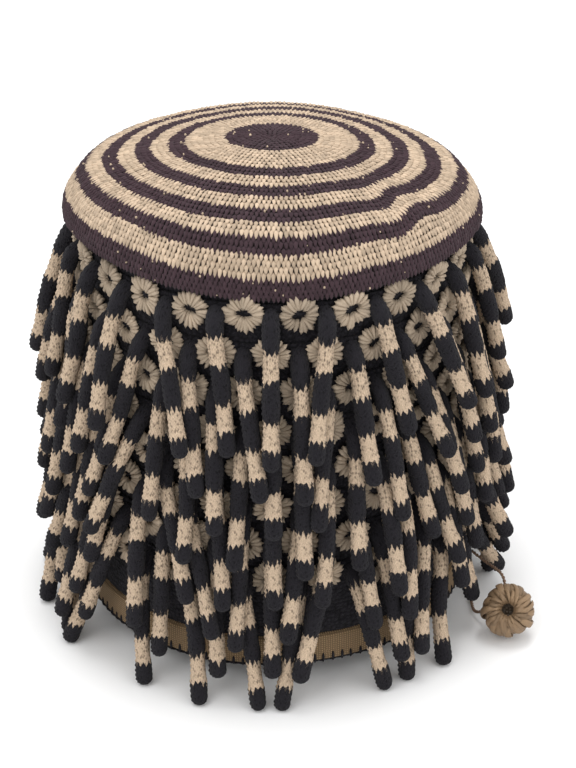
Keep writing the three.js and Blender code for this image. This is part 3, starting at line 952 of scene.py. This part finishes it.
class HAT_OT_rosettes(bpy.types.Operator):
    """Make the puffy rosettes that sit between the fingers of each row"""

    bl_idname = "hat.rosettes"
    bl_label = "Rosettes"

    def execute(self, context):
        sizes = context.scene.hat_sizes
        half = sizes.rosette_diameter / MM / 2
        draw = np.random.default_rng(21)
        loop = ball(6, 3)
        co = points_of(loop)
        copies = np.concatenate([
            self.rosette(row, index, half, sizes.loop_count, co, draw)
            for row in range(ROW_COUNT) for index in range(PER_ROW)])
        own = np.repeat(draw.random(ROW_COUNT * PER_ROW), 2 * sizes.loop_count)
        mesh = joined_copies("rosettes", loop, copies, tint=0.7 * own + 0.3 * draw.random(len(copies)))
        material = stitch_yarn("undyed looped cotton", context.scene.hat_colours.rosette, 0.5)
        add_piece("rosettes", mesh, material, ROW_NODES)
        return {"FINISHED"}

    def rosette(self, row, index, half, count, co, draw):
        """The points of one rosette's loops, which run from its slit to its ragged edge."""
        z = row_height(row)
        angle = math.radians(FRONT_FINGER_DEG + 360 / PER_ROW * (index + 0.5 + (row % 2) / 2))
        angle += 1.2 / wall_radius(z) * (draw.random() - 0.5)
        out = around(angle, 1.0, 0.0)
        aside = around(angle + math.pi / 2, 1.0, 0.0)
        up = np.array([0.0, 0.0, 1.0])
        lean = math.radians(14) * (draw.random(2) - 0.5)
        aside = unit(aside + math.tan(lean[0]) * out)
        up = unit(up + math.tan(lean[1]) * out)
        # Two layers of loops, the under one half a loop further round
        under = np.repeat([0, 1], count)
        order = np.tile(np.arange(count), 2) + under / 2
        count *= 2
        turn = 4 * math.pi * (order + 0.5 * draw.random(count)) / count
        squarish = 1 + 0.08 * draw.random() * np.cos(4 * turn + math.tau * draw.random())
        edge = half * squarish * (0.93 + 0.05 * draw.random()) * (1 + 0.16 * (draw.random(count) - 0.4))
        edge *= 1 - 0.08 * under
        wide, tall = np.array(ROSETTE_SLIT) * (0.8 + 0.4 * draw.random(2))
        tip = turn - math.radians(70) * (draw.random() - 0.5)
        slit = wide * tall / np.hypot(tall * np.cos(tip), wide * np.sin(tip))
        slit = slit + 0.6 * (draw.random(count) - 0.3)
        heading = turn + 0.3 * (draw.random(count) - 0.5)
        along = in_plane(heading, aside, up)
        across = in_plane(heading, up, -aside)
        middle = (slit + edge) / 2
        long = (edge - slit) / 2 * 1.06
        broad = math.tau * middle / count * (1.0 + 0.35 * draw.random(count))
        high = 1.5 + 0.7 * draw.random(count)
        raised = 1.5 + 0.6 * draw.random() + 0.6 * draw.random(count) - 0.9 * under
        z += 1.2 * (draw.random() - 0.5)
        centre = around(angle, tape_radius(row) + TAPE_THICKNESS, z)
        spots = centre + middle[:, None] * in_plane(turn, aside, up) + raised[:, None] * out
        axes = np.stack([broad[:, None] * across, high[:, None] * out, long[:, None] * along], axis=1)
        # A loop is broader at its outer end.
        grown = co * np.stack([1 + 0.4 * co[:, 2], np.ones(len(co)), np.ones(len(co))], axis=-1)
        return laid(grown, spots, axes)


class HAT_OT_fingers(bpy.types.Operator):
    """Make the banded fingers along the centre lines of the fringe's solids"""

    bl_idname = "hat.fingers"
    bl_label = "Fingers"

    def execute(self, context):
        colours = context.scene.hat_colours
        sizes = context.scene.hat_sizes
        yarn = banded_yarn("banded looped cotton", colours.black, colours.finger_light, sizes)
        draw = np.random.default_rng(31)
        for row, node in enumerate(ROW_NODES):
            lines = self.centre_lines(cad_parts[node])
            if len(lines) != PER_ROW:
                raise RuntimeError(f"{node} has {len(lines)} fingers, not {PER_ROW}")
            finger = rolled_grid(FINGER_SIDES, FINGER_RINGS, closed=(1,))
            strays = BAND_STRAY * (draw.random(len(lines)) - 0.4)
            points, lengths = self.skins(finger, lines, strays, sizes.band_repeat / MM, draw)
            scale = np.stack([np.ones(len(lines)), lengths / 100], axis=-1)
            name = f"fingers_row_{row + 1}"
            mesh = joined_copies(name, finger, points, tint=draw.random(len(lines)), uv_scale=scale)
            self.count_from_tip(mesh, lengths - strays)
            add_piece(name, mesh, yarn, [node])
        return {"FINISHED"}

    def centre_lines(self, solid):
        """Root, elbow, shoulder and tip of each finger of a row's solid, in millimetres.

        A finger's tip is joined to the six points of its shoulder alone, and the rings follow one another."""
        copy = bmesh.new()
        copy.from_mesh(solid.data)
        bmesh.ops.remove_doubles(copy, verts=copy.verts, dist=1e-5)
        copy.verts.index_update()
        reach = FINGER_RADIUS * math.sqrt(2) * MM
        lines = []
        for vert in copy.verts:
            near = [edge.other_vert(vert) for edge in vert.link_edges]
            if len(near) != 6 or any(abs((other.co - vert.co).length - reach) > 0.02 * MM for other in near):
                continue
            line = [vert.co.copy()]
            behind = {vert}
            ring = set(near)
            for _ in range(3):
                # Summed by their numbers, as a set's own order changes from run to run
                ordered = sorted(ring, key=lambda other: other.index)
                line.append(sum((other.co for other in ordered), Vector()) / len(ordered))
                linked = {edge.other_vert(other) for other in ring for edge in other.link_edges}
                behind, ring = behind | ring, linked - behind - ring
            lines.append([point / MM for point in reversed(line)])
        copy.free()
        return lines

    def skins(self, finger, lines, strays, repeat, draw):
        """The skin of each finger: a rounded elbow, a bow, small loops, thinner light bands, a round tip."""
        turn, height, open_share = places_in(finger)
        at = np.rint(height * FINGER_RINGS).astype(int)
        column = np.rint(turn / math.pi * FINGER_SIDES / 2).astype(int)
        nub = np.where((column + at) % 2 == 0, 0.32, -0.28)
        copies = []
        lengths = []
        for (root, elbow, _, tip), stray in zip(lines, strays):
            points = np.array([root[:], elbow[:], tip[:]])
            first = unit(points[1] - points[0])
            down = unit(points[2] - points[1])
            bend = np.array([points[1] - 4.5 * first, points[1] + 6 * down])
            bulge = unit(np.cross(np.cross(first, down), down))
            bow = (draw.random() - 0.5) * 4.4
            middle = (points[1] + points[2]) / 2 + bow * bulge
            rounded = points[1] + 1.2 * unit(down - first)
            route = [points[0], bend[0], rounded, bend[1], middle, points[2]]
            line, run = smooth_line(route, step=0.4)
            whole = run[-1]
            # Even rings, then a round cap in equal angles
            straight = np.linspace(0, whole - FINGER_RADIUS, FINGER_RINGS - TIP_RINGS + 1)
            lift = np.linspace(0, math.pi / 2, TIP_RINGS + 1)[1:]
            stops = np.concatenate([straight, whole - FINGER_RADIUS * (1 - np.sin(lift))])
            round_share = np.concatenate([np.ones(len(straight)), np.cos(lift)])
            place = values_at(stops, run, line)
            facing = unit(values_at(stops, run, unit(np.gradient(line, axis=0))))
            side = unit(np.cross(first, down))
            across = unit(side - facing * (facing @ side)[:, None])
            over = np.cross(facing, across)
            off = (whole - stops - stray + repeat / 2 - FIRST_BAND) % repeat - repeat / 2
            waist = 0.13 * np.clip((8.5 - np.abs(off)) / 3, 0, 1)
            thick = FINGER_RADIUS * ((0.95 + 0.1 * draw.random()) * (1.03 - waist) * round_share)[at]
            uneven = 0.12 * np.sin(0.35 * stops[at] + 6.28 * draw.random() + 2 * turn)
            radius = (thick + (nub + uneven) * np.minimum(1, round_share[at] * 1.2)) * open_share
            copies.append(place[at] + radius[:, None] * in_plane(turn, across[at], over[at]))
            lengths.append(whole)
        return np.array(copies), np.array(lengths)

    def count_from_tip(self, mesh, lengths):
        """Turn the map's second number round, so that it counts from each finger's tip."""
        layer = mesh.uv_layers[0].data
        uv = np.empty(2 * len(layer), np.float32)
        layer.foreach_get("uv", uv)
        uv = uv.reshape(len(lengths), -1, 2)
        uv[:, :, 1] = (lengths / 100)[:, None] - uv[:, :, 1]
        layer.foreach_set("uv", uv.ravel())


class HAT_OT_stage(bpy.types.Operator):
    """Lay the white paper under the hat and light it softly from all sides"""

    bl_idname = "hat.stage"
    bl_label = "Stage"

    def execute(self, context):
        sheet = bmesh.new()
        bmesh.ops.create_grid(sheet, x_segments=8, y_segments=8, size=6.0)
        mesh = bpy.data.meshes.new("paper")
        sheet.to_mesh(mesh)
        sheet.free()
        mesh.materials.append(matt_paper("white background paper"))
        paper = bpy.data.objects.new("paper", mesh)
        context.scene.collection.objects.link(paper)
        world = bpy.data.worlds.new("studio")
        world.use_nodes = True
        background = world.node_tree.nodes["Background"]
        background.inputs["Color"].default_value = (1.0, 1.0, 1.0, 1.0)
        background.inputs["Strength"].default_value = 0.9
        context.scene.world = world
        context.scene.view_settings.view_transform = "Standard"
        for name, place, size, power in LAMPS:
            lamp = bpy.data.lights.new(name, "AREA")
            lamp.energy = power
            lamp.size = size
            light = bpy.data.objects.new(name, lamp)
            light.location = place
            aim = Vector(LAMP_AIM) - Vector(place)
            light.rotation_euler = aim.to_track_quat("-Z", "Y").to_euler()
            context.scene.collection.objects.link(light)
        return {"FINISHED"}


class HAT_PT_sidebar(bpy.types.Panel):
    """The hat's sizes, colours and pieces"""

    bl_idname = "HAT_PT_sidebar"
    bl_label = "Prestige hat"
    bl_space_type = "VIEW_3D"
    bl_region_type = "UI"
    bl_category = "Hat"

    def draw(self, context):
        for group in (context.scene.hat_sizes, context.scene.hat_colours):
            for field in group.__annotations__:
                self.layout.prop(group, field)
        for operator in OPERATORS:
            self.layout.operator(operator.bl_idname)


OPERATORS = [
    HAT_OT_camera, HAT_OT_tie, HAT_OT_crown, HAT_OT_wall, HAT_OT_rosettes, HAT_OT_fingers, HAT_OT_stage,
]
CLASSES = [HatSizes, HatColours, *OPERATORS, HAT_PT_sidebar]


def register():
    for made in CLASSES:
        bpy.utils.register_class(made)
    bpy.types.Scene.hat_sizes = bpy.props.PointerProperty(type=HatSizes)
    bpy.types.Scene.hat_colours = bpy.props.PointerProperty(type=HatColours)


def unregister():
    del bpy.types.Scene.hat_sizes
    del bpy.types.Scene.hat_colours
    for made in reversed(CLASSES):
        bpy.utils.unregister_class(made)


def main():
    register()
    bpy.ops.hat.camera()
    bpy.ops.hat.tie()
    bpy.ops.hat.crown()
    bpy.ops.hat.wall()
    bpy.ops.hat.rosettes()
    bpy.ops.hat.fingers()
    bpy.ops.hat.stage()


if __name__ == "__main__":
    main()
